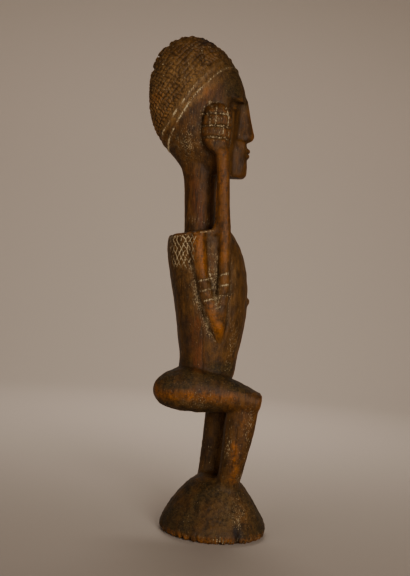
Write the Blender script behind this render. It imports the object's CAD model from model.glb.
import math

import bmesh
import bpy
import numpy as np
import openvdb as vdb
from mathutils import Matrix, Vector


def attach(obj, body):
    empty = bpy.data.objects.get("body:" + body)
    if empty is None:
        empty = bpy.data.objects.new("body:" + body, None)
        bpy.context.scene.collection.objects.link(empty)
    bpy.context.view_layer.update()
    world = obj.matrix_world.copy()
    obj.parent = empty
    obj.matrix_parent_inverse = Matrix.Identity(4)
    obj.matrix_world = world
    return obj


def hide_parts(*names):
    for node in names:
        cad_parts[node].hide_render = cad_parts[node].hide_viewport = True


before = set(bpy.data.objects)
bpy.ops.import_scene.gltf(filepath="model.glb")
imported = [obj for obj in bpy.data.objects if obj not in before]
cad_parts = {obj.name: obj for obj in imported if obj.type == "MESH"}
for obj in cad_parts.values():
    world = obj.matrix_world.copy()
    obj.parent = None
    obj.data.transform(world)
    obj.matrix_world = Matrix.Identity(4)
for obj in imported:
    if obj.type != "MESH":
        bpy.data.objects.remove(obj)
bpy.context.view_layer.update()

MM = 0.001
NODE = "carved_figure"

# Turns the frame's axes into [across, forward, up] and back
FLIP = np.array([1.0, -1.0, 1.0])

# The distance field: its cell, how far distances are kept, the room round the figure, how far
# from the skin marks work, how far facets are rubbed away, and the size of bulges
VOXEL = 0.4
FIELD_REACH = 4.4
MARGIN = 5.0
SHELL = 2.2
RUB = 1.0
BEND_SIZE = 1.3

# The finished mesh, and how strongly plain wood gives up its triangles to the carved detail
MOST_TRIANGLES = 196000
FINENESS_WEIGHT = 1.2e-5

# Random lumps repeat after this many, and start between two of them
NOISE_CELLS = 32
NOISE_START = 17.3

# How finely rays and lines are followed, and how many points are measured at once
RAY_STEP = 0.25
LINE_STEP = 0.8
BATCH = 20000

# Where the form flows most softly, each as a place and its reach: the ankles and the seat
SOFT_PLACES = [
    ((0.0, 2.0, 33.0), (30.0, 24.0, 11.0)),
    ((0.0, -52.0, 90.0), (40.0, 14.0, 18.0)),
]
SOFT_RUB = 2.6

# Coiffure and head band. Band lines are heights at even steps of angle from nape to forehead
BAND_HEIGHTS = [
    [251.4, 255.0, 262.2, 273.4, 286.1, 295.4, 303.2, 307.9, 309.4, 309.0],
    [255.0, 261.6, 269.6, 280.7, 293.2, 301.8, 308.5, 312.9, 315.7, 316.5],
]
BAND_ANGLES = np.linspace(0.0, 180.0, len(BAND_HEIGHTS[1]))
BAND_DUST = [(1.3, 0.3), (1.0, 0.65)]
BAND_WIDTH = 0.6
BAND_RISE = 0.55
HEAD_AXIS_FORWARD = -32.0
HAIR_START = 2.6
ROW_PITCH = 3.1
ROW_WIDTH = 0.42
ROW_DEPTH = 0.90
CUT_PITCH = 2.7
CUT_WIDTH = 0.40
CUT_DEPTH = 0.75
HAIR_RISE = 0.26

# Cuts over the crown as [forward, up], which notch its outline
NOTCH_WIDTH = 1.3
NOTCH_DEPTH = 2.0
NOTCH_REACH = 11.0
CROWN_NOTCHES = [
    (-64.3, 305.5), (-60.3, 314.0), (-55.5, 321.8), (-49.5, 327.4),
    (-43.0, 329.6), (-36.6, 329.8), (-28.0, 328.2), (-22.4, 325.2),
]

# Hand, fingers and arms
FINGER_GROOVES = [259.4, 266.8, 274.9]
FINGER_WIDTH = 0.95
FINGER_DEPTH = 1.05
HAND_OUTLINE = [
    (-21.8, 249.0), (-27.6, 254.4), (-30.0, 263.0), (-30.1, 270.6), (-28.7, 278.4),
    (-23.6, 282.9), (-16.4, 283.2), (-10.6, 279.2), (-9.0, 271.0), (-9.2, 264.0),
    (-9.8, 257.0),
]
UPPER_ARM_BACK = [(-31.8, 192.0), (-30.9, 179.6), (-26.9, 169.9), (-20.8, 147.8), (-10.2, 129.6)]
UPPER_ARM_FRONT = [(-19.6, 196.0), (-18.8, 182.4), (-17.0, 171.6), (-13.2, 161.0)]
FOREARM_FRONT = [(-4.0, 196.0), (-3.0, 174.0), (-2.5, 158.5), (-2.8, 141.0), (-5.0, 128.4)]
FOREARM_BACK = [(-13.2, 195.0), (-12.8, 183.0), (-12.7, 173.0), (-12.6, 161.0)]
SHOULDER_RIM = [(-44.5, 193.2), (-34.3, 195.6), (-27.9, 197.0), (-21.6, 198.4), (-15.3, 200.0)]

# Rings on each limb: its middle forward at the first ring, how far it leans forward for each
# millimetre down, its half width and the heights of its rings
BRACELETS = [
    (-6.2, 0.0, 5.2, (172.7, 165.2, 159.0)),
    (-20.2, 0.47, 5.6, (167.6, 161.6, 155.5)),
]
RING_SLOPE = 0.3
RING_WIDTH = 0.95
RING_DEPTH = 0.6
TICK_PITCH = 1.6
TICK_WIDTH = 0.5

# Scratches round the foot of the neck, and the net behind each shoulder with the direction in
# degrees, the pitch and the seed of its two sets of lines
SCRATCH_PITCH = 1.9
SCRATCH_WIDTH = 0.45
NET_LINES = [(58.0, 3.0, 42), (123.0, 3.1, 43)]
NET_WIDTH = 0.42
NET_DEPTH = 0.40

# Eyes, mouth and nostrils
EYE_SPREAD = 9.8
SLIT_HEIGHT = 283.6
LID_HEIGHT = 283.7
MOUTH_HEIGHT = 254.6
NOSTRIL_SPREAD = 2.4
NOSTRIL_HEIGHT = 263.2
EYE_WIDTH = 3.6
MOUTH_WIDTH = 5.0
LINE_WIDTH = 0.45

# Fine splits along the grain: the side they run down, side-view places, half width and depth
DRYING_CRACKS = [
    (-1, [(-19.0, 136.0), (-17.4, 122.0), (-16.6, 108.0)], 0.38, 0.7),
    (-1, [(-35.0, 168.0), (-33.6, 150.0), (-32.4, 137.0)], 0.30, 0.5),
    (-1, [(9.0, 72.0), (8.4, 60.0), (7.0, 46.0)], 0.35, 0.6),
    (-1, [(-26.0, 232.0), (-25.4, 218.0), (-25.8, 206.0)], 0.32, 0.5),
    (1, [(-10.0, 140.0), (-9.0, 122.0), (-8.8, 112.0)], 0.36, 0.7),
    (1, [(-30.0, 230.0), (-29.2, 214.0), (-29.4, 204.0)], 0.34, 0.6),
    (1, [(6.0, 30.0), (9.0, 22.0), (10.0, 12.0)], 0.38, 0.7),
]

# The lower edge of the dark tops of the thighs as [forward, up]
LAP_EDGE = [
    (-43.2, 96.5), (-38.6, 95.8), (-25.9, 96.8), (-20.4, 100.0), (-12.6, 99.3), (-1.5, 98.0),
    (9.6, 96.6), (19.9, 96.3),
]

# Base, with the bites and the finer nicks round its rim: how many there are, their half width,
# height, depth and first seed. A split opens the rim on the right side
BASE_RADIUS = 35.3
RIM_CUTS = [(41, 1.2, 4.6, 1.3, 51), (100, 0.6, 6.5, 0.8, 54)]
SPLIT_FORWARD = 13.4
SPLIT_WIDTH = 1.4
SPLIT_DEPTH = 1.5

# Colours of the wood and of what lies on it
DARK_WOOD = (0.0300, 0.0120, 0.0020, 1.0)
BROWN_WOOD = (0.1130, 0.0450, 0.0070, 1.0)
OLIVE_DARK = (0.0140, 0.0082, 0.0022, 1.0)
OLIVE_LIGHT = (0.0640, 0.0355, 0.0085, 1.0)
TAN_DARK = (0.0360, 0.0165, 0.0035, 1.0)
TAN_LIGHT = (0.2250, 0.1120, 0.0290, 1.0)
RED_WOOD = (0.1200, 0.0310, 0.0050, 1.0)
ORANGE_WOOD = (0.2500, 0.0760, 0.0060, 1.0)
BLACK_STAIN = (0.0100, 0.0070, 0.0070, 1.0)
GREY_DUST = (0.1500, 0.1120, 0.0600, 1.0)
PALE_FLECK = (0.3000, 0.2200, 0.1150, 1.0)
PALE_DUST = (0.4000, 0.3050, 0.1700, 1.0)

# Studio, in metres and degrees
PALE_PAPER = (0.40, 0.330, 0.270, 1.0)
FLOOR_RADIUS = 0.75
BEND_RADIUS = 0.5
WALL_HEIGHT = 2.2
BEND_STEPS = 12
SWEEP_SIDES = 96
WAIST = (0.0, 0.0, 0.17)
CAMERA_PLACE = Vector((-565.28, 47.65, 162.44)) * MM
CAMERA_AZIMUTH = math.radians(-93.0)
CAMERA_ROLL = math.radians(4.5)
CAMERA_LENS = 52.5
CAMERA_SENSOR = 36.0

# Each light's name, place, aim, size, power and colour
LIGHTS = [
    ("key", (-0.98, -0.30, 0.36), WAIST, 0.50, 8.5, (1.0, 0.95, 0.88)),
    ("fill", (-0.70, 0.75, 0.25), WAIST, 0.8, 2.4, (1.0, 0.93, 0.85)),
    ("wall", (0.40, 0.0, 0.64), (0.95, 0.0, 0.0), 0.5, 5.4, (1.0, 0.95, 0.90)),
]
AIR_COLOUR = (1.0, 0.96, 0.92, 1.0)
AIR_STRENGTH = 0.05


def bump(distance, half_width):
    """1 on a line, falling smoothly to 0 somewhat past the given half width."""
    return np.exp(-((distance / half_width) ** 2))


def smooth_step(value, low, high):
    """0 up to the low value, 1 from the high value, and a smooth rise between."""
    t = np.clip((value - low) / (high - low), 0.0, 1.0)
    return t * t * (3.0 - 2.0 * t)


def axes(points):
    """How far points lie from the middle plane, forward and up."""
    return np.abs(points[:, 0]), points[:, 1], points[:, 2]


def between_cells(values, cell, share):
    """The values of a grid part of the way from each cell to the next. The grid wraps round."""
    total = np.zeros(len(cell), np.float32)
    for corner in np.ndindex(2, 2, 2):
        weight = np.ones(len(cell), np.float32)
        for axis in range(3):
            weight *= share[:, axis] if corner[axis] else 1.0 - share[:, axis]
        x, y, z = ((cell + corner) % values.shape).T
        total += weight * values[x, y, z]
    return total


def noise(points, size, seed):
    """Smooth random values from -1 to 1, in lumps of one size or of a size along each axis."""
    random = np.random.default_rng(seed)
    table = random.uniform(-1.0, 1.0, (NOISE_CELLS,) * 3).astype(np.float32)
    place = points / np.array(size, np.float32) + NOISE_START
    cell = np.floor(place).astype(np.int32)
    share = (place - cell).astype(np.float32)
    return between_cells(table, cell, share * share * (3.0 - 2.0 * share))


def mesh_corners(mesh):
    """The corners of a mesh in mm."""
    corners = np.zeros(len(mesh.vertices) * 3, np.float32)
    mesh.vertices.foreach_get("co", corners)
    return corners.reshape(-1, 3) / MM


def node_surface(node):
    """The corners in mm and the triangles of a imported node."""
    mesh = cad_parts[node].data
    mesh.calc_loop_triangles()
    triangles = np.zeros(len(mesh.loop_triangles) * 3, np.int32)
    mesh.loop_triangles.foreach_get("vertices", triangles)
    return mesh_corners(mesh), triangles.reshape(-1, 3).astype(np.uint32)


def rubbed(values, size):
    """The values of a grid smoothed by a bell curve of the given size in cells."""
    reach = int(2.6 * size) + 1
    weights = np.exp(-0.5 * (np.arange(reach) / size) ** 2)
    weights = (weights / (weights[0] + 2.0 * weights[1:].sum())).astype(np.float32)
    for axis in range(3):
        count = values.shape[axis]
        total = values * weights[0]
        for step in range(1, reach):
            ahead = [slice(None)] * 3
            behind = [slice(None)] * 3
            ahead[axis] = slice(step, count)
            behind[axis] = slice(0, count - step)
            total[tuple(behind)] += weights[step] * values[tuple(ahead)]
            total[tuple(ahead)] += weights[step] * values[tuple(behind)]
        values = total
    return values


class Field:
    """Distances from the skin on a grid in mm, negative inside the wood."""

    def __init__(self, values, low, voxel):
        self.values = values
        self.low = low
        self.voxel = voxel

    def at(self, points):
        """The field's values at points given as [across, forward, up]."""
        place = points * FLIP / self.voxel - self.low
        place = np.clip(place, 0.0, np.array(self.values.shape) - 1.001)
        cell = place.astype(np.int32)
        return between_cells(self.values, cell, (place - cell).astype(np.float32))

    def places(self, cells):
        """Grid cells as [across, forward, up]."""
        return ((cells + self.low) * self.voxel * FLIP).astype(np.float32)

    def first_skin(self, start, towards, length):
        """Where each ray from outside first meets the wood."""
        steps = np.arange(0.0, length, RAY_STEP)
        rays = start[:, None, :] + steps[None, :, None] * towards[:, None, :]
        inside = self.at(rays.reshape(-1, 3)).reshape(len(start), -1) < 0.0
        first = np.argmax(inside, axis=1)
        return start + towards * steps[first][:, None]


def flowing(values, low):
    """The field with its soft places rubbed further."""
    across, back, up = (
        (np.arange(count) + start) * VOXEL for count, start in zip(values.shape, low)
    )
    for at, reach in SOFT_PLACES:
        first = int((at[2] - 2.0 * reach[2]) / VOXEL) - low[2]
        last = int((at[2] + 2.0 * reach[2]) / VOXEL) - low[2]
        part = slice(max(first, 0), last)
        block = values[:, :, part]
        share = bump(across - at[0], reach[0])[:, None, None]
        share = share * bump(back + at[1], reach[1])[None, :, None]
        share = (share * bump(up[part] - at[2], reach[2])[None, None, :]).astype(np.float32)
        values[:, :, part] = block * (1.0 - share) + rubbed(block, SOFT_RUB / VOXEL) * share
    return values


def solid_field():
    """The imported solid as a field, with its facets and sharp edges rubbed away."""
    corners, triangles = node_surface(NODE)
    grid = vdb.FloatGrid.createLevelSetFromPolygons(
        corners,
        triangles=triangles,
        transform=vdb.createLinearTransform(voxelSize=VOXEL),
        halfWidth=FIELD_REACH / VOXEL,
    )
    low = np.floor((corners.min(0) - MARGIN) / VOXEL).astype(int)
    high = np.ceil((corners.max(0) + MARGIN) / VOXEL).astype(int)
    values = np.zeros(tuple(high - low + 1), np.float32)
    grid.copyToArray(values, ijk=tuple(int(v) for v in low))
    return Field(flowing(rubbed(values, RUB / VOXEL), low), low, VOXEL)


class Line:
    """A line through places on the skin, which knows how far any point is from it."""

    def __init__(self, places):
        gaps = np.linalg.norm(np.diff(places, axis=0), axis=1)
        run = np.concatenate([[0.0], np.cumsum(gaps)])
        count = max(2, int(run[-1] / LINE_STEP))
        self.run = np.linspace(0.0, run[-1], count)
        self.places = np.stack([np.interp(self.run, run, places[:, i]) for i in range(3)], 1)
        along = np.gradient(self.places, axis=0)
        self.along = along / np.linalg.norm(along, axis=1)[:, None]
        self.low = self.places.min(0)
        self.high = self.places.max(0)

    def measure(self, points):
        """The distance of each point from the line, and the run along it to the nearest place."""
        distance = np.zeros(len(points), np.float32)
        run = np.zeros(len(points), np.float32)
        for start in range(0, len(points), BATCH):
            batch = slice(start, start + BATCH)
            part = points[batch]
            squares = (part ** 2).sum(1)[:, None] + (self.places ** 2).sum(1)[None, :]
            nearest = np.argmin(squares - 2.0 * part @ self.places.T, axis=1)
            offset = part - self.places[nearest]
            ahead = (offset * self.along[nearest]).sum(1)
            ahead = np.clip(ahead, -LINE_STEP, LINE_STEP)
            offset -= ahead[:, None] * self.along[nearest]
            distance[batch] = np.linalg.norm(offset, axis=1)
            run[batch] = self.run[nearest] + ahead
        return distance, run


def smooth_curve(places, count):
    """A smooth curve through a few side-view places [forward, up]."""
    places = np.array(places)
    before = 2 * places[:1] - places[1:2]
    after = 2 * places[-1:] - places[-2:-1]
    padded = np.concatenate([before, places, after])
    spots = np.linspace(0.0, len(places) - 1.001, count)
    i = spots.astype(int)
    t = (spots - i)[:, None]
    a, b, c, d = padded[i], padded[i + 1], padded[i + 2], padded[i + 3]
    bend = (2 * a - 5 * b + 4 * c - d) * t ** 2 + (3 * b - a - 3 * c + d) * t ** 3
    return 0.5 * (2 * b + (c - a) * t + bend)


def side_line(field, places, side):
    """A line drawn on one side of the figure through side-view places."""
    outside = 40.0
    flat = smooth_curve(places, 12 * len(places))
    start = np.column_stack([np.full(len(flat), side * outside), flat])
    towards = np.tile([-side, 0.0, 0.0], (len(flat), 1))
    return Line(field.first_skin(start, towards, outside))


def band_line(field, heights):
    """A line round the whole head, from the nape over one side to the forehead and back."""
    outside = 45.0
    angles = np.radians(np.linspace(0.0, 360.0, 361))
    from_nape = np.minimum(np.degrees(angles), 360.0 - np.degrees(angles))
    curve = smooth_curve(np.column_stack([BAND_ANGLES, heights]), 400)
    up = np.interp(from_nape, curve[:, 0], curve[:, 1])
    zero = np.zeros(len(angles))
    out = np.column_stack([np.sin(angles), -np.cos(angles), zero])
    axis = np.column_stack([zero, zero + HEAD_AXIS_FORWARD, up])
    return Line(field.first_skin(axis + outside * out, -out, outside))


class Marks:
    """Points with the depth cut away there and the dust that the cuts hold."""

    def __init__(self, points):
        self.points = points
        self.depth = np.zeros(len(points), np.float32)
        self.dust = np.zeros(len(points), np.float32)

    def cut(self, low, high, tool):
        """Applies a tool, which gives depth and dust, to the points inside a box."""
        inside = np.all((self.points > low) & (self.points < high), axis=1)
        if inside.any():
            depth, dust = tool(self.points[inside])
            self.depth[inside] += depth
            self.dust[inside] = np.maximum(self.dust[inside], dust)

    def groove(self, line, half_width, depth, dust, breaks=0.0, dust_width=1.2, fade=0.0):
        """A cut, or with a negative depth a raised line, that may break up along its run.

        Its dust may fade by a share towards the front.
        """

        def tool(points):
            distance, _ = line.measure(points)
            strength = bump(distance, half_width)
            if breaks:
                gaps = noise(points, 3.0, 5)
                strength = strength * smooth_step(gaps, -1.0 + breaks, -0.3 + breaks)
            patchy = 0.75 + 0.5 * noise(points, 4.0, 6)
            held = dust * patchy * bump(distance, half_width * dust_width)
            held *= 1.0 - fade * smooth_step(points[:, 1], -42.0, -22.0)
            return depth * strength, held * (strength > 0.02)

        reach = 3.0 * half_width * dust_width
        self.cut(line.low - reach, line.high + reach, tool)


def tool_marks(points):
    """The long shallow facets of the blade, with a finer unevenness over them."""
    _, forward, up = axes(points)
    depth = 0.22 * noise(points, (4.2, 4.2, 12.0), 1)
    depth += 0.15 * noise(points, (2.2, 2.2, 5.5), 2)
    depth += 0.07 * noise(points, (1.1, 1.1, 2.0), 3)
    # The face is smoother, and the legs and the dome are rougher
    face = smooth_step(forward, -16.0, -8.0) * smooth_step(up, 236.0, 240.0)
    depth *= 1.0 - 0.7 * face
    crusty = 1.0 - smooth_step(up, 100.0, 125.0)
    depth += 0.13 * crusty * noise(points, (1.7, 1.7, 2.2), 4)
    dome = 1.0 - smooth_step(up, 32.0, 40.0)
    depth += 0.16 * dome * noise(points, (4.0, 4.0, 1.1), 7)
    return depth, np.zeros(len(points), np.float32)


def scatter(row, cell):
    """A fixed random value from 0 to 1 for each cell of each row."""
    row_factor, cell_factor, scale = 12.9898, 78.233, 43758.5453
    return np.abs(np.sin(row * row_factor + cell * cell_factor) * scale) % 1.0


def coiffure_tool(upper_band):
    """Rows that follow the head band, cut across into small uneven tufts."""

    def tool(points):
        side, forward, up = axes(points)
        distance, run = upper_band.measure(points)
        angle = np.arctan2(side, HEAD_AXIS_FORWARD - forward)
        height = np.interp(np.degrees(angle), BAND_ANGLES, BAND_HEIGHTS[1])
        over = up - height > 0.0
        hair = smooth_step(distance, HAIR_START, HAIR_START + 1.0) * over

        # Wavering rows, side by side from the band up to the crown
        warp = 1.4 * noise(points, 13.0, 11)
        warp += 0.3 * noise(points, 4.0, 12)
        row = (distance - HAIR_START + warp) / ROW_PITCH
        number = np.floor(row)
        rows = bump((row - np.round(row)) * ROW_PITCH, ROW_WIDTH)

        # Slanting cuts across each row, shifted from row to row
        slant = 0.8 * (scatter(number, 3.0) - 0.5)
        shift = 1.9 * np.sin(number * 12.9) + 0.5 * noise(points, 3.5, 15)
        across = (run + shift + slant * (row - number) * ROW_PITCH) / CUT_PITCH
        cuts = bump((across - np.round(across)) * CUT_PITCH, CUT_WIDTH)

        # Both are fainter in front
        front = smooth_step(forward, -24.0, -12.0)
        cuts *= 1.0 - 0.7 * front
        rows *= (1.0 - 0.45 * front) * (0.7 + 0.5 * noise(points, 5.0, 16))

        # Every tuft tilts and stands up by an amount of its own
        chance = scatter(number, np.floor(across + 0.5))
        tilt = (chance - 0.5) * ((row - number) - 0.5) + (0.5 - chance) * 0.5
        tufts = 0.7 * tilt + 0.08 * noise(points, 1.8, 17)
        uneven = 1.0 + 0.4 * noise(points, 6.0, 13)
        grooves = uneven * (ROW_DEPTH * rows + CUT_DEPTH * cuts * (1.0 - 0.6 * rows))
        depth = hair * (grooves - HAIR_RISE + tufts)
        pale = smooth_step(noise(points, 2.0, 14) + 0.7 * (chance - 0.5), 0.05, 0.5)
        return depth, 0.55 * hair * np.maximum(rows, cuts) * pale

    return tool


def crown_notches(points):
    """Cuts over the crown that notch its outline."""
    depth = np.zeros(len(points), np.float32)
    for forward, up in CROWN_NOTCHES:
        distance = np.hypot(points[:, 1] - forward, points[:, 2] - up)
        depth += NOTCH_DEPTH * bump(distance, NOTCH_WIDTH) * bump(points[:, 0], NOTCH_REACH)
    return depth, np.zeros(len(points), np.float32)


def fingers(points):
    """Three cuts part each hand into four fingers lying level, with fine upright scratches."""
    across, _, up = axes(points)
    outer = smooth_step(across, 18.0, 20.5)
    waver = 0.5 * noise(points, (30.0, 7.0, 30.0), 21)
    cuts = np.zeros(len(points), np.float32)
    for height in FINGER_GROOVES:
        cuts += bump(up - height + waver, FINGER_WIDTH)
    scratch = noise(points, (8.0, 0.9, 4.0), 23) * smooth_step(up, 256.0, 260.0)
    broken = smooth_step(noise(points, (2.2, 2.2, 1.2), 22), -0.9, 0.6)
    held = 0.75 * np.minimum(cuts, 1.0) * broken
    dust = np.maximum(held, 0.7 * smooth_step(scratch, 0.25, 0.7)) * outer
    return outer * (FINGER_DEPTH * cuts - 0.22 + 0.30 * scratch), dust


def bracelets(points):
    """Three rings of short upright nicks round each forearm and each upper arm."""
    across, forward, up = axes(points)
    tick = (forward + 0.35 * noise(points, 3.0, 30)) / TICK_PITCH
    ticks = 0.25 + 0.75 * bump((tick - np.round(tick)) * TICK_PITCH, TICK_WIDTH)
    rings = np.zeros(len(points), np.float32)
    for middle, lean, half, heights in BRACELETS:
        for height in heights:
            beside = forward - middle - lean * (heights[0] - height)
            on_limb = smooth_step(half - np.abs(beside), -0.6, 0.6)
            waver = 0.5 * noise(points, 2.5, 32)
            rings += on_limb * bump(up - height - RING_SLOPE * beside + waver, RING_WIDTH)
    rings = np.minimum(rings, 1.0) * smooth_step(across, 22.0, 24.0)
    broken = smooth_step(noise(points, 1.6, 31), -0.7, 0.2)
    return RING_DEPTH * rings * ticks, 0.95 * rings * np.sqrt(ticks) * broken


def neck_scratches(points):
    """A row of short upright scratches round the foot of the neck."""
    step = (points[:, 1] + 0.5 * noise(points, (2.0, 2.0, 6.0), 24)) / SCRATCH_PITCH
    strokes = bump((step - np.round(step)) * SCRATCH_PITCH, SCRATCH_WIDTH)
    up = points[:, 2] + 1.5 * noise(points, (2.5, 2.5, 50.0), 25)
    strokes *= smooth_step(up, 203.5, 205.0) * (1.0 - smooth_step(up, 208.0, 210.5))
    return 0.25 * strokes, 0.5 * strokes


def shoulder_hatch(points):
    """A net of scratched lines behind each shoulder, filled with pale dust."""
    across, forward, up = axes(points)
    edge = 0.9 * noise(points, 3.0, 40)
    patch = smooth_step(forward + edge, -47.4, -46.0) * smooth_step(edge - forward, 27.0, 28.6)
    patch *= smooth_step(up + edge, 173.0, 175.0) * smooth_step(edge - up, -196.0, -194.8)
    patch *= smooth_step(across, 12.5, 15.0)
    waver = 0.75 * noise(points, 4.0, 41)
    # The lines keep their pitch where they run round onto the back
    round_corner = forward + 0.5 * across
    lines = np.zeros(len(points), np.float32)
    for turn, pitch, seed in NET_LINES:
        turn = math.radians(turn)
        step = (round_corner * math.sin(turn) - up * math.cos(turn) + waver) / pitch
        worn_off = smooth_step(noise(points, 2.2, seed), -0.8, 0.0)
        lines = np.maximum(lines, bump((step - np.round(step)) * pitch, NET_WIDTH) * worn_off)
    return NET_DEPTH * lines * patch, 0.95 * lines * patch


def rim_nicks(points):
    """Uneven bites out of the foot of the base, with finer upright cuts between them."""
    across, forward, up = points.T
    turn = np.arctan2(forward, across) / (2.0 * math.pi)
    out = np.hypot(across, forward)
    outer = smooth_step(out, BASE_RADIUS - 5.0, BASE_RADIUS - 3.0)
    depth = np.zeros(len(points), np.float32)
    for count, half, height, cut, seed in RIM_CUTS:
        step = turn * count + 0.35 * noise(points, (6.0, 6.0, 60.0), seed)
        from_cut = (step - np.round(step)) * 2.0 * math.pi * BASE_RADIUS / count
        top = height + 2.2 * noise(points, (4.0, 4.0, 90.0), seed + 1)
        low = 1.0 - smooth_step(up, top - 3.5, top)
        deep = np.maximum(0.6 + 0.8 * noise(points, (5.0, 5.0, 90.0), seed + 2), 0.1)
        nicks = bump(from_cut, half) * low * deep * outer
        depth += cut * nicks
    split = bump(forward - SPLIT_FORWARD - 0.2 * up, SPLIT_WIDTH) * (across < 0.0)
    depth += SPLIT_DEPTH * split * outer * (1.0 - smooth_step(up, 5.0, 10.0))
    # Only the finer nicks, which are cut last, hold dust
    return depth, 0.75 * nicks


def face_cuts(points):
    """The plain carved eyes and mouth: a slit in each lid and a line between the lips."""
    across, forward, up = axes(points)
    front = smooth_step(forward, -14.0, -9.0)
    beside_eye = across - EYE_SPREAD
    slit = bump(up - SLIT_HEIGHT + 0.02 * beside_eye ** 2, LINE_WIDTH)
    slit = slit * bump(beside_eye, EYE_WIDTH)
    lid = bump(np.hypot(beside_eye / 1.9, up - LID_HEIGHT) - 2.6, 0.5)
    mouth = bump(up - MOUTH_HEIGHT, LINE_WIDTH) * bump(across, MOUTH_WIDTH)
    nostril = bump(np.hypot(across - NOSTRIL_SPREAD, up - NOSTRIL_HEIGHT), 0.9)
    depth = front * (0.65 * slit + 0.4 * lid + 0.6 * mouth + 0.5 * nostril)
    return depth, 0.3 * front * np.maximum(slit, mouth)


def limb_lines(marks, field, side):
    """The cuts round one hand and along one arm, and the raised rim of the shoulder."""

    def groove(places, **settings):
        marks.groove(side_line(field, places, side), **settings)

    groove(HAND_OUTLINE, half_width=0.8, depth=0.7, dust=0.5, breaks=0.45)
    for places in (UPPER_ARM_BACK, UPPER_ARM_FRONT, FOREARM_BACK):
        groove(places, half_width=0.9, depth=0.3, dust=0.6, breaks=0.4)
    groove(FOREARM_FRONT, half_width=0.8, depth=0.3, dust=0.4, breaks=0.6)
    groove(SHOULDER_RIM, half_width=0.7, depth=-0.25, dust=0.65, breaks=0.3)


def carve(marks, field):
    """Every cut of the finished carving, each tool inside the box of its low and high corner."""
    lines = [band_line(field, heights) for heights in BAND_HEIGHTS]
    marks.cut((-90, -90, -10), (90, 90, 400), tool_marks)
    marks.cut((-30, -72, 250), (30, 12, 335), coiffure_tool(lines[1]))
    marks.cut((-12, -72, 300), (12, 0, 335), crown_notches)
    for line, (dust, fade) in zip(lines, BAND_DUST):
        marks.groove(line, BAND_WIDTH, -BAND_RISE, dust, dust_width=1.4, fade=fade)
    marks.cut((-32, -31, 249), (32, -8, 284), fingers)
    marks.cut((-34, -30, 150), (34, 1, 176), bracelets)
    marks.cut((-19, -46, 200), (19, -12, 213), neck_scratches)
    marks.cut((-34, -48, 170), (34, -25, 198), shoulder_hatch)
    marks.cut((-38, -38, -1), (38, 38, 12), rim_nicks)
    marks.cut((-20, -15, 240), (20, 12, 292), face_cuts)
    for side in (-1, 1):
        limb_lines(marks, field, side)
    for side, places, half_width, depth in DRYING_CRACKS:
        marks.groove(side_line(field, places, side), half_width, depth, 0.0, breaks=0.2)


def mesh_from(points, quads, name):
    """A mesh from corners in metres and four-cornered faces."""
    mesh = bpy.data.meshes.new(name)
    mesh.vertices.add(len(points))
    mesh.vertices.foreach_set("co", points.astype(np.float32).ravel())
    mesh.loops.add(quads.size)
    mesh.loops.foreach_set("vertex_index", quads.astype(np.int32).ravel())
    mesh.polygons.add(len(quads))
    mesh.polygons.foreach_set("loop_start", np.arange(0, quads.size, 4, dtype=np.int32))
    mesh.update(calc_edges=True)
    return mesh


def fineness(points):
    """How much of the fine mesh is kept: most on the carved detail, least on plain wood."""
    across, forward, up = axes(points)
    over_band = up - 257.0 - 0.95 * (forward + 56.0)
    hair = (up > 252.0) & (over_band > 0.0)
    hand = (up > 248.0) & (up < 285.0) & (across > 17.0) & (forward > -31.0) & (forward < -8.0)
    patch = (up > 172.0) & (up < 197.0) & (forward < -25.0) & (across > 13.0)
    arms = (up > 128.0) & (up < 177.0) & (across > 19.0) & (forward > -30.0) & (forward < -1.0)
    face = (up > 238.0) & (up < 292.0) & (forward > -9.0) & (across < 17.0)
    band = (up > 250.0) & (over_band > -11.0) & (over_band < 3.0) & (forward < -8.0)
    keep = np.zeros(len(points), np.float32)
    keep[hair | (up < 7.0)] = 0.55
    keep[hand | patch | arms | face | band] = 0.9
    return keep


def drop_crumbs(mesh):
    """Deletes the tiny faces that deep cuts leave floating beside the carving."""
    shape = bmesh.new()
    shape.from_mesh(mesh)
    shape.verts.ensure_lookup_table()
    part_of = np.full(len(shape.verts), -1, np.int32)
    parts = 0
    for first in range(len(part_of)):
        if part_of[first] >= 0:
            continue
        part_of[first] = parts
        waiting = [shape.verts[first]]
        while waiting:
            vertex = waiting.pop()
            for edge in vertex.link_edges:
                other = edge.other_vert(vertex)
                if part_of[other.index] < 0:
                    part_of[other.index] = parts
                    waiting.append(other)
        parts += 1
    crumbs = np.flatnonzero(part_of != np.bincount(part_of).argmax())
    bmesh.ops.delete(shape, geom=[shape.verts[i] for i in crumbs], context="VERTS")
    shape.to_mesh(mesh)
    shape.free()


def skin_mesh(field, name):
    """The skin of the field as one mesh, thinned most where it is plain."""
    grid = vdb.FloatGrid(FIELD_REACH)
    grid.transform = vdb.createLinearTransform(voxelSize=field.voxel)
    near_skin = np.clip(field.values, -2.0, 2.0)
    grid.copyFromArray(near_skin, ijk=tuple(int(v) for v in field.low))
    corners, _, quads = grid.convertToPolygons(isovalue=0.0, adaptivity=0.0)
    corners[:, 2] = np.maximum(corners[:, 2], 0.0)
    fine = mesh_from(corners * MM, quads[:, ::-1], name + "_fine")
    thick = bpy.data.objects.new(name + "_fine", fine)
    bpy.context.scene.collection.objects.link(thick)
    group = thick.vertex_groups.new(name="plain")
    keep = fineness((corners * FLIP).astype(np.float32))
    for level in np.unique(keep):
        group.add(np.flatnonzero(keep == level).tolist(), 1.0 - float(level), "REPLACE")
    thin = thick.modifiers.new("thin", "DECIMATE")
    thin.ratio = min(1.0, MOST_TRIANGLES / (2.0 * len(quads)))
    thin.vertex_group = group.name
    thin.vertex_group_factor = FINENESS_WEIGHT
    seen = thick.evaluated_get(bpy.context.evaluated_depsgraph_get())
    mesh = bpy.data.meshes.new_from_object(seen)
    mesh.name = name
    bpy.data.objects.remove(thick)
    drop_crumbs(mesh)
    return mesh


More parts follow.
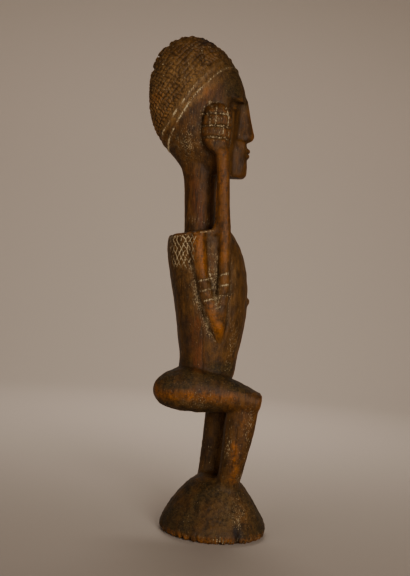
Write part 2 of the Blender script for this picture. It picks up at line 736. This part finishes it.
def blob(points, at, reach):
    """1 at a place and fading to 0 past the given reach, alike on both sides of the figure."""
    across, forward, up = (
        (value - middle) / far for value, middle, far in zip(axes(points), at, reach)
    )
    return np.exp(-(across ** 2 + forward ** 2 + up ** 2))


def strip(points, low, high, reach, half_across=12.0, at_across=26.0):
    """1 along the straight line between two side-view places and fading past the reach."""
    a = np.array(low)
    b = np.array(high)
    side = points[:, 1:3]
    share = np.clip(((side - a) @ (b - a)) / ((b - a) @ (b - a)), 0.0, 1.0)
    distance = np.linalg.norm(side - a - share[:, None] * (b - a), axis=1)
    return bump(distance, reach) * bump(np.abs(points[:, 0]) - at_across, half_across)


def write_mask(mesh, name, values):
    """Keeps values from 0 to 1 on the mesh, where the material reads them by name."""
    layer = mesh.attributes.new(name, "FLOAT", "POINT")
    layer.data.foreach_set("value", np.clip(values, 0.0, 1.0).astype(np.float32))


def lap(points):
    """The dark tops of the thighs, down to where the sides are rubbed."""
    across, forward, up = axes(points)
    edge = np.interp(forward, *zip(*LAP_EDGE)) + 1.2 * noise(points, 4.0, 62)
    return smooth_step(up - edge, -1.2, 1.2) * smooth_step(across, 8.0, 12.0)


def worn(points, high_spots):
    """Where handling has rubbed the dark crust down to orange wood."""
    across, _, up = axes(points)
    blotch = 0.5 + 0.5 * noise(points, (4.5, 4.5, 6.0), 61)
    arms = 1.1 * strip(points, (-26.0, 193.0), (-21.0, 173.0), 4.6)
    arms += 1.15 * strip(points, (-14.9, 150.0), (-7.5, 134.0), 4.0)
    arms += 0.55 * strip(points, (-15.0, 248.0), (-9.0, 182.0), 4.2)
    thighs = 0.75 * strip(points, (-42.0, 91.4), (-24.0, 93.0), 3.1, 14.0, 27.0)
    thighs += 0.65 * strip(points, (-24.0, 93.0), (4.0, 93.4), 3.4, 14.0, 25.0)
    thighs *= 1.0 - 0.85 * lap(points)
    thighs += 0.9 * strip(points, (-47.0, 99.5), (-45.0, 92.0), 1.9, 14.0, 20.0)
    thighs += 0.22 * blob(points, (24.0, 15.0, 84.0), (14.0, 7.0, 9.0))
    shins = 1.1 * strip(points, (7.7, 62.5), (8.8, 51.0), 1.8, 8.0, 24.0)
    shins += 0.8 * strip(points, (9.8, 47.0), (9.0, 38.0), 2.4, 8.0, 24.0)
    shins += 0.25 * strip(points, (14.0, 76.0), (9.0, 40.0), 5.0, 8.0, 24.0)
    base = 0.6 * smooth_step(-up, -6.0, -2.5)
    base += 0.45 * blob(points, (26.0, 17.0, 22.0), (16.0, 5.5, 11.0))
    nape = 1.2 * blob(points, (6.0, -61.0, 285.0), (14.0, 3.0, 3.5))
    temple = 1.2 * blob(points, (21.0, -28.5, 289.0), (7.0, 2.0, 2.8))
    zones = (arms + thighs + shins + base) * smooth_step(across, 11.0, 20.0)
    zones += nape + temple
    below_hair = 1.0 - smooth_step(up, 284.0, 294.0)
    edges = 0.35 * smooth_step(high_spots, 0.10, 0.45) * (0.3 + blotch) * below_hair
    return zones * (0.25 + blotch) + edges


def dusty(points, cut_dust, hollows):
    """Pale dust left in the cuts and in the sheltered places."""
    patchy = smooth_step(noise(points, (6.0, 6.0, 9.0), 72), -0.4, 0.5)
    # Behind the upper arm, between the arms, and before the forearm
    behind_arm = 0.55 * strip(points, (-28.7, 176.0), (-22.8, 153.0), 2.9)
    behind_elbow = 0.70 * strip(points, (-22.8, 153.0), (-12.2, 132.5), 2.7)
    sheltered = np.maximum(behind_arm, behind_elbow)
    sheltered += 0.26 * strip(points, (-17.4, 197.0), (-11.0, 156.0), 3.2)
    sheltered += 0.32 * strip(points, (-15.0, 164.0), (-9.8, 151.0), 3.6)
    sheltered += 0.35 * strip(points, (-3.2, 158.0), (-2.2, 141.0), 1.5)
    sheltered += 0.35 * strip(points, (-0.2, 177.0), (-1.0, 168.0), 2.0)
    # Behind the hand, on the nape, on the base and under the thigh
    sheltered += 0.22 * blob(points, (20.0, -31.0, 266.0), (10.0, 4.0, 9.0))
    sheltered += 0.46 * blob(points, (18.0, -42.0, 252.0), (14.0, 10.0, 9.0))
    sheltered += 0.34 * blob(points, (26.0, 10.0, 22.0), (12.0, 8.0, 9.0))
    sheltered += 0.35 * strip(points, (-28.0, 89.0), (-14.0, 87.5), 2.0)
    sheltered *= 0.82 + 0.4 * noise(points, (2.2, 2.2, 3.5), 73)
    return np.maximum(cut_dust, sheltered + 0.15 * patchy * hollows)


def flecked(points):
    """Where small upright pale flecks show: by the arms, on the shins, the flank and the base."""
    # Between the arms, behind the upper arm and before the forearm
    zones = 1.2 * strip(points, (-16.9, 190.0), (-10.6, 152.0), 3.4)
    zones += 0.9 * strip(points, (-29.2, 176.0), (-23.4, 153.0), 2.6)
    zones += 1.2 * strip(points, (-23.4, 153.0), (-12.8, 132.5), 2.6)
    zones += 0.8 * strip(points, (-2.4, 172.0), (-1.6, 158.0), 1.8)
    # The front and the back of the shin, and the front of the base
    zones += 1.1 * strip(points, (17.0, 84.0), (12.5, 40.0), 3.4, 16.0, 26.0)
    zones += 0.8 * strip(points, (4.0, 72.0), (4.5, 42.0), 3.0, 16.0, 26.0)
    zones += 1.3 * blob(points, (26.0, 16.0, 23.0), (14.0, 6.0, 10.0))
    zones += 0.8 * blob(points, (30.0, 12.5, 14.0), (12.0, 3.5, 4.0))
    # The belly, the back and the nape
    zones += 0.7 * strip(points, (3.5, 142.0), (1.0, 112.0), 3.5, 16.0, 18.0)
    zones += 0.8 * strip(points, (-41.5, 170.0), (-33.0, 118.0), 2.4, 16.0, 16.0)
    zones += 1.1 * blob(points, (17.0, -43.0, 256.0), (14.0, 13.0, 12.0))
    # The inner leg, the thigh and the hand
    zones += 0.4 * strip(points, (-6.0, 73.0), (-8.0, 45.0), 4.0, 12.0, 14.0)
    zones += 0.15 * strip(points, (-25.0, 101.0), (8.0, 99.0), 4.0, 16.0, 24.0)
    zones += 0.35 * strip(points, (-25.0, 86.0), (-8.0, 85.0), 3.0, 16.0, 24.0)
    zones += 0.55 * blob(points, (30.0, -20.0, 270.0), (6.0, 9.0, 13.0))
    zones += 0.9 * blob(points, (27.0, -18.0, 93.0), (10.0, 9.0, 4.0))
    return zones * (0.7 + 0.6 * noise(points, (5.0, 5.0, 8.0), 75))


def stained(points):
    """The purple-black stains of the crown, the flank, the rim and the inner legs."""
    ragged = 0.7 + 0.6 * noise(points, (3.0, 3.0, 4.0), 81)
    zones = 1.6 * blob(points, (4.0, -30.0, 326.5), (14.0, 6.5, 5.5))
    zones += strip(points, (-30.5, 140.0), (-26.5, 122.0), 2.8, 9.0, 21.0)
    zones += 1.4 * blob(points, (31.0, 14.0, 7.0), (7.0, 3.4, 7.0))
    zones += 0.8 * blob(points, (7.0, -8.0, 56.0), (6.0, 3.5, 10.0))
    return zones * ragged


def mossy(points):
    """The greyish olive crust of the base, the thigh tops, the back, the brow and the hands."""
    _, forward, up = axes(points)
    base = 1.0 - smooth_step(up, 30.0, 44.0)
    tops = lap(points) * (1.0 - smooth_step(up, 112.0, 118.0))
    under = smooth_step(-up, -90.5, -87.0) * smooth_step(up, 74.0, 80.0)
    under *= smooth_step(-forward, -2.0, 8.0)
    back = 0.3 * smooth_step(-forward, 32.0, 40.0) * smooth_step(up, 116.0, 130.0)
    back *= 1.0 - smooth_step(up, 185.0, 200.0)
    brow = 0.9 * smooth_step(forward, -26.0, -12.0) * smooth_step(up, 278.0, 290.0)
    shins = 0.45 * (1.0 - smooth_step(up, 66.0, 88.0))
    hands = 0.5 * blob(points, (25.0, -19.0, 267.0), (7.0, 9.0, 16.0))
    zones = np.maximum.reduce([base, tops, under, back, brow, shins, hands])
    return zones * (0.8 + 0.5 * noise(points, (6.0, 6.0, 8.0), 91))


def tanned(points):
    """The greyish tan of the coiffure, and less so of the torso, the base and the inner legs."""
    _, forward, up = axes(points)
    over = up - 259.0 - 1.02 * (forward + 55.0)
    hair = smooth_step(over, 0.0, 4.0) * smooth_step(up, 254.0, 262.0)
    front = 1.0 - 0.6 * smooth_step(forward, -40.0, -14.0)
    front *= 1.0 - 0.65 * smooth_step(up, 298.0, 318.0)
    torso = smooth_step(up, 112.0, 122.0) * smooth_step(-up, -196.0, -186.0)
    lower = 0.3 * blob(points, (26.0, 10.0, 18.0), (16.0, 17.0, 14.0))
    lower += 0.2 * torso
    lower += 1.3 * blob(points, (8.0, 5.0, 58.0), (6.0, 6.0, 26.0))
    return hair * front * (0.95 + 0.3 * noise(points, 7.0, 93)) + lower


def reddish(points):
    """The redder wood of the flank, the neck and the temples."""
    zones = strip(points, (-23.0, 140.0), (-19.5, 112.0), 4.5, 12.0, 22.0)
    zones += 0.7 * strip(points, (-33.0, 236.0), (-25.0, 206.0), 5.0, 10.0, 12.0)
    zones += 0.5 * blob(points, (20.0, -24.0, 285.0), (8.0, 10.0, 8.0))
    return zones * (0.6 + 0.5 * noise(points, (3.0, 3.0, 9.0), 95))


class Recipe:
    """Adds shader nodes to a material and links them, so that it reads as a short recipe."""

    def __init__(self, name):
        self.material = bpy.data.materials.new(name)
        self.material.use_nodes = True
        self.tree = self.material.node_tree
        self.surface = self.tree.nodes["Principled BSDF"]

    def node(self, kind, **settings):
        """A new node with its settings."""
        made = self.tree.nodes.new(kind)
        for key, value in settings.items():
            setattr(made, key, value)
        return made

    def feed(self, socket, value):
        """Gives a socket a value, or links it to another node's result."""
        if isinstance(value, bpy.types.NodeSocket):
            self.tree.links.new(value, socket)
        else:
            socket.default_value = value

    def mask(self, name):
        """The values kept on the mesh under a name."""
        return self.node("ShaderNodeAttribute", attribute_name=name).outputs["Fac"]

    def grain(self, size, stretch=1.0, detail=3.0, roughness=0.55, distortion=0.0):
        """Noise from about 0 to 1 in lumps of the given size in mm, stretched along the wood."""
        place = self.node("ShaderNodeTexCoord").outputs["Object"]
        scaled = self.node("ShaderNodeVectorMath", operation="MULTIPLY")
        self.feed(scaled.inputs[0], place)
        lumps = 1.0 / MM / size
        scaled.inputs[1].default_value = (lumps, lumps, lumps / stretch)
        texture = self.node("ShaderNodeTexNoise")
        self.feed(texture.inputs["Vector"], scaled.outputs[0])
        texture.inputs["Scale"].default_value = 1.0
        texture.inputs["Detail"].default_value = detail
        texture.inputs["Roughness"].default_value = roughness
        texture.inputs["Distortion"].default_value = distortion
        return texture.outputs["Fac"]

    def spread(self, value, low, high, to_low=0.0, to_high=1.0):
        """The value's range from low to high, stretched smoothly to another range."""
        made = self.node("ShaderNodeMapRange", interpolation_type="SMOOTHSTEP")
        self.feed(made.inputs["Value"], value)
        made.inputs["From Min"].default_value = low
        made.inputs["From Max"].default_value = high
        made.inputs["To Min"].default_value = to_low
        made.inputs["To Max"].default_value = to_high
        return made.outputs["Result"]

    def sum(self, *terms):
        """Adds terms of (value, weight)."""
        total = None
        for value, weight in terms:
            made = self.node("ShaderNodeMath", operation="MULTIPLY_ADD")
            self.feed(made.inputs[0], value)
            made.inputs[1].default_value = weight
            self.feed(made.inputs[2], 0.0 if total is None else total)
            total = made.outputs[0]
        return total

    def times(self, a, b):
        """The product of two values, kept from 0 to 1."""
        made = self.node("ShaderNodeMath", operation="MULTIPLY", use_clamp=True)
        self.feed(made.inputs[0], a)
        self.feed(made.inputs[1], b)
        return made.outputs[0]

    def blend(self, share, under, over):
        """A colour with a share of another one laid over it."""
        made = self.node("ShaderNodeMix", data_type="RGBA")
        self.feed(made.inputs["Factor"], share)
        self.feed(made.inputs["A"], under)
        self.feed(made.inputs["B"], over)
        return made.outputs["Result"]


def carved_wood():
    """Old handled wood: dark crust, orange where rubbed, with pale dust in the cuts."""
    r = Recipe("dark_wood")
    fibre = r.grain(0.9, stretch=12.0, detail=4.0)
    mottle = r.grain(4.5, stretch=2.0, detail=5.0, roughness=0.65)
    crumb = r.grain(1.7, stretch=1.6, detail=3.0, roughness=0.6)
    speck = r.grain(0.8, stretch=1.3, detail=2.0)
    scratch = r.grain(0.50, stretch=3.2, detail=1.0)
    streak = r.grain(3.0, stretch=0.3, detail=3.0, distortion=1.2)

    # The crust, and the zones where it is more olive, tan or red
    tone = r.spread(r.sum((fibre, 0.38), (mottle, 0.72)), 0.40, 0.74)
    wood = r.blend(tone, DARK_WOOD, BROWN_WOOD)
    mixed = r.sum((speck, 0.35), (crumb, 0.35), (mottle, 0.5))
    streaky = r.sum((speck, 0.2), (crumb, 0.25), (mottle, 0.35), (streak, 0.4))
    olive = r.blend(r.spread(streaky, 0.49, 0.73), OLIVE_DARK, OLIVE_LIGHT)
    wood = r.blend(r.mask("mossy"), wood, olive)
    tan = r.blend(r.spread(mixed, 0.42, 0.80), TAN_DARK, TAN_LIGHT)
    wood = r.blend(r.mask("tanned"), wood, tan)
    wood = r.blend(r.times(r.mask("reddish"), r.spread(fibre, 0.3, 0.6)), wood, RED_WOOD)

    # Orange wood where the crust is rubbed off, then dark hollows and stains
    rubbed_off = r.sum((fibre, 0.05), (streak, 0.35), (crumb, 0.4), (mottle, 0.3))
    patchy = r.spread(rubbed_off, 0.40, 0.66)
    wood = r.blend(r.times(r.mask("worn"), patchy), wood, ORANGE_WOOD)
    wood = r.blend(r.times(r.mask("hollow"), 0.72), wood, DARK_WOOD)
    wood = r.blend(r.times(r.mask("stained"), 0.92), wood, BLACK_STAIN)

    # Upright pale flecks, a thin veil of dust and the dust that fills the cuts
    fleck_share = r.spread(r.sum((scratch, 1.0), (r.mask("flecked"), 0.19)), 0.72, 0.80)
    wood = r.blend(fleck_share, wood, PALE_FLECK)
    veil = r.times(r.mask("dusty"), r.spread(crumb, 0.40, 0.62, 0.05, 0.75))
    wood = r.blend(veil, wood, GREY_DUST)
    dust_share = r.spread(r.sum((speck, 1.0), (r.mask("dusty"), 0.56)), 0.79, 0.97)
    wood = r.blend(dust_share, wood, PALE_DUST)
    r.feed(r.surface.inputs["Base Color"], wood)

    # Rubbed wood has more sheen than crust and dust
    gloss = r.sum((scratch, 0.25), (mottle, 0.16), (r.mask("worn"), -0.07), (dust_share, 0.3))
    roughness = r.sum((gloss, 1.0), (r.mask("mossy"), 0.10), (0.36, 1.0))
    r.feed(r.surface.inputs["Roughness"], roughness)
    r.surface.inputs["Specular IOR Level"].default_value = 0.20

    # The finest unevenness of the grain, over the relief that the mesh has
    relief = r.node("ShaderNodeBump")
    relief.inputs["Strength"].default_value = 0.8
    relief.inputs["Distance"].default_value = 0.5 * MM
    height = r.sum((fibre, 0.35), (crumb, 0.9), (speck, 0.5), (scratch, 0.25), (dust_share, 0.15))
    r.feed(relief.inputs["Height"], height)
    r.feed(r.surface.inputs["Normal"], relief.outputs["Normal"])
    return r.material


def bulges(field, points):
    """How far the skin bulges at each point, or below 0 how deep it lies in a hollow."""
    voxel = 2.0 * field.voxel
    values = rubbed(field.values[::2, ::2, ::2], BEND_SIZE / voxel)
    return Field(values, field.low / 2.0, voxel).at(points)


def paint(mesh, field, uncut):
    """Keeps on the mesh where it is worn, dusty, stained and so on."""
    marks = Marks((mesh_corners(mesh) * FLIP).astype(np.float32))
    carve(marks, uncut)
    points = marks.points
    bulge = bulges(field, points)
    dust = dusty(points, marks.dust, smooth_step(-bulge, 0.05, 0.5))
    hollow = smooth_step(-bulge, 0.02, 0.30) * (1.0 - 0.8 * np.clip(dust, 0.0, 1.0))
    write_mask(mesh, "worn", worn(points, bulge))
    write_mask(mesh, "dusty", dust)
    write_mask(mesh, "stained", stained(points))
    write_mask(mesh, "mossy", mossy(points))
    write_mask(mesh, "tanned", tanned(points))
    write_mask(mesh, "hollow", hollow)
    write_mask(mesh, "flecked", flecked(points))
    write_mask(mesh, "reddish", reddish(points))


def carved_figure():
    """The whole carving as one piece."""
    field = solid_field()
    uncut = Field(field.values.copy(), field.low, field.voxel)
    near = np.abs(field.values) < SHELL
    marks = Marks(field.places(np.argwhere(near)))
    carve(marks, uncut)
    field.values[near] += marks.depth
    mesh = skin_mesh(field, "carving")
    mesh.polygons.foreach_set("use_smooth", np.ones(len(mesh.polygons), bool))
    paint(mesh, field, uncut)

    piece = bpy.data.objects.new("carving", mesh)
    bpy.context.scene.collection.objects.link(piece)
    mesh.materials.clear()
    mesh.materials.append(carved_wood())
    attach(piece, "root")
    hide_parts(NODE)


def plain_material(name, colour, roughness):
    """A material of one colour."""
    r = Recipe(name)
    r.surface.inputs["Base Color"].default_value = colour
    r.surface.inputs["Roughness"].default_value = roughness
    return r.material


def studio_sweep():
    """A pale floor that curves up all round into a plain wall."""
    outline = [(FLOOR_RADIUS, 0.0)]
    for step in range(1, BEND_STEPS + 1):
        turn = step / BEND_STEPS * math.pi / 2
        out = FLOOR_RADIUS + BEND_RADIUS * math.sin(turn)
        up = BEND_RADIUS * (1.0 - math.cos(turn))
        outline.append((out, up))
    outline.append((FLOOR_RADIUS + BEND_RADIUS, WALL_HEIGHT))

    points = [(0.0, 0.0, 0.0)]
    for out, up in outline:
        for side in range(SWEEP_SIDES):
            turn = 2.0 * math.pi * side / SWEEP_SIDES
            points.append((out * math.cos(turn), out * math.sin(turn), up))

    faces = [(0, 1 + side, 1 + (side + 1) % SWEEP_SIDES) for side in range(SWEEP_SIDES)]
    for ring in range(len(outline) - 1):
        first = 1 + ring * SWEEP_SIDES
        for side in range(SWEEP_SIDES):
            a = first + side
            b = first + (side + 1) % SWEEP_SIDES
            faces.append((a, a + SWEEP_SIDES, b + SWEEP_SIDES, b))

    mesh = bpy.data.meshes.new("studio_sweep")
    mesh.from_pydata(points, [], faces)
    mesh.polygons.foreach_set("use_smooth", np.ones(len(mesh.polygons), bool))
    mesh.materials.append(plain_material("pale_paper", PALE_PAPER, 0.9))
    sweep = bpy.data.objects.new("studio_sweep", mesh)
    bpy.context.scene.collection.objects.link(sweep)


def area_light(name, at, aim, size, power, colour):
    """A round soft light that shines from one place towards another."""
    light = bpy.data.lights.new(name, "AREA")
    light.shape = "DISK"
    light.size = size
    light.energy = power
    light.color = colour
    lamp = bpy.data.objects.new(name, light)
    lamp.location = at
    lamp.rotation_euler = (Vector(aim) - Vector(at)).to_track_quat("-Z", "Y").to_euler()
    lamp.visible_camera = False
    bpy.context.scene.collection.objects.link(lamp)


def studio_light():
    """A warm key light, a fill, one for the wall behind, and a little light all round."""
    for light in LIGHTS:
        area_light(*light)
    world = bpy.data.worlds.new("studio")
    world.use_nodes = True
    background = world.node_tree.nodes["Background"]
    background.inputs["Color"].default_value = AIR_COLOUR
    background.inputs["Strength"].default_value = AIR_STRENGTH
    bpy.context.scene.world = world


def camera():
    """Level with the figure's waist at its right side, rolled as the photograph is."""
    back = Vector((math.sin(CAMERA_AZIMUTH), -math.cos(CAMERA_AZIMUTH), 0.0))
    up = Vector((0.0, 0.0, 1.0))
    right = up.cross(back)
    across = right * math.cos(CAMERA_ROLL) + up * math.sin(CAMERA_ROLL)
    above = up * math.cos(CAMERA_ROLL) - right * math.sin(CAMERA_ROLL)
    turned = Matrix((across, above, back)).transposed().to_4x4()
    data = bpy.data.cameras.new("camera")
    data.lens = CAMERA_LENS
    data.sensor_width = CAMERA_SENSOR
    seen = bpy.data.objects.new("camera", data)
    seen.matrix_world = Matrix.Translation(CAMERA_PLACE) @ turned
    bpy.context.scene.collection.objects.link(seen)
    bpy.context.scene.camera = seen


camera()
studio_sweep()
studio_light()
carved_figure()
